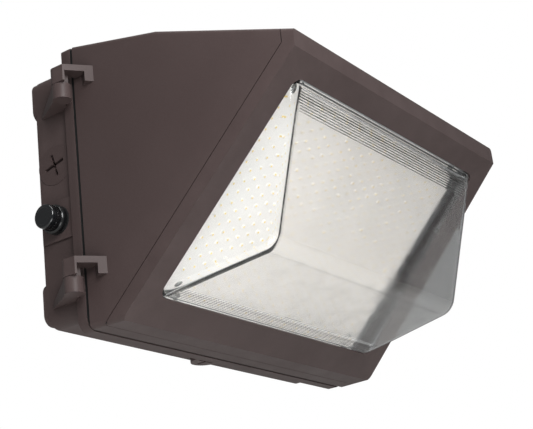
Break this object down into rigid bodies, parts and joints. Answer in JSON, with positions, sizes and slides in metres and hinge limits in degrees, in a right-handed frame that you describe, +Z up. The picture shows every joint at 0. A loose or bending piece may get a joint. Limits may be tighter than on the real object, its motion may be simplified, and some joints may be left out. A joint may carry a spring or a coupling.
{
  "type": "wall pack light",
  "caption": "Wall mounted flood light with a deep sloped housing that swings open on a back box, a clear drop lens and a side photocell.",
  "frame": {"origin": "on the wall plane, at the middle of the back box's four wall holes", "axes": "+Z up, +Y into the wall, -Y out of the wall, +X to the right of someone who faces the light"},
  "size_m": [0.3926, 0.2445, 0.235],
  "materials": {
    "bronze_coat": "dark bronze powder coat, fine texture",
    "seal_rubber": "dark silicone sponge",
    "clear_lens": "clear, ribbed and prismatic inside",
    "board_white": "white solder mask",
    "chip_phosphor": "yellow phosphor",
    "screw_steel": "zinc plated",
    "cell_black": "smooth black",
    "cell_smoke": "smooth dark window",
    "plate_metal": "plain sheet",
    "driver_shell": "white enamel",
    "block_plastic": "dark grey moulding"
  },
  "bodies": {
    "base": {"back_box": "bronze_coat", "box_gasket": "seal_rubber", "plug_left": "bronze_coat", "plug_right": "bronze_coat", "plug_bottom": "bronze_coat", "rear_grommet": "seal_rubber", "photocell_body": "cell_black", "photocell_cap": "cell_smoke", "photocell_collar": "bronze_coat", "photocell_nut": "cell_black", "photocell_seal": "seal_rubber", "hinge_pin_upper": "screw_steel", "hinge_pin_lower": "screw_steel", "terminal_block": "block_plastic", "terminal_screws": "screw_steel", "ground_screw": "screw_steel"},
    "door": {"front_housing": "bronze_coat", "front_frame": "bronze_coat", "frame_gasket": "seal_rubber", "lens": "clear_lens", "lens_gasket": "seal_rubber", "lens_clips": "plate_metal", "lens_clip_screws": "screw_steel", "carrier_plate": "plate_metal", "carrier_screws": "screw_steel", "led_board": "board_white", "board_screws": "screw_steel", "led_chips": "chip_phosphor", "driver_case": "driver_shell", "driver_lid": "driver_shell", "driver_screws": "screw_steel", "frame_screws": "screw_steel"},
    "door_screw_upper": {"door_screw_upper": "screw_steel"},
    "door_screw_lower": {"door_screw_lower": "screw_steel"}
  },
  "joints": [
    {"name": "door_hinge", "type": "hinge", "parent": "base", "child": "door", "pos_m": [-0.191, -0.0445, 0], "axis": [0, 0, -1], "range_deg": [0, 100]},
    {"name": "door_screw_upper_slide", "type": "slide", "parent": "door", "child": "door_screw_upper", "axis": [0, -1, 0], "range_m": [0, 0.0135]},
    {"name": "door_screw_lower_slide", "type": "slide", "parent": "door", "child": "door_screw_lower", "axis": [0, -1, 0], "range_m": [0, 0.0135]}
  ]
}
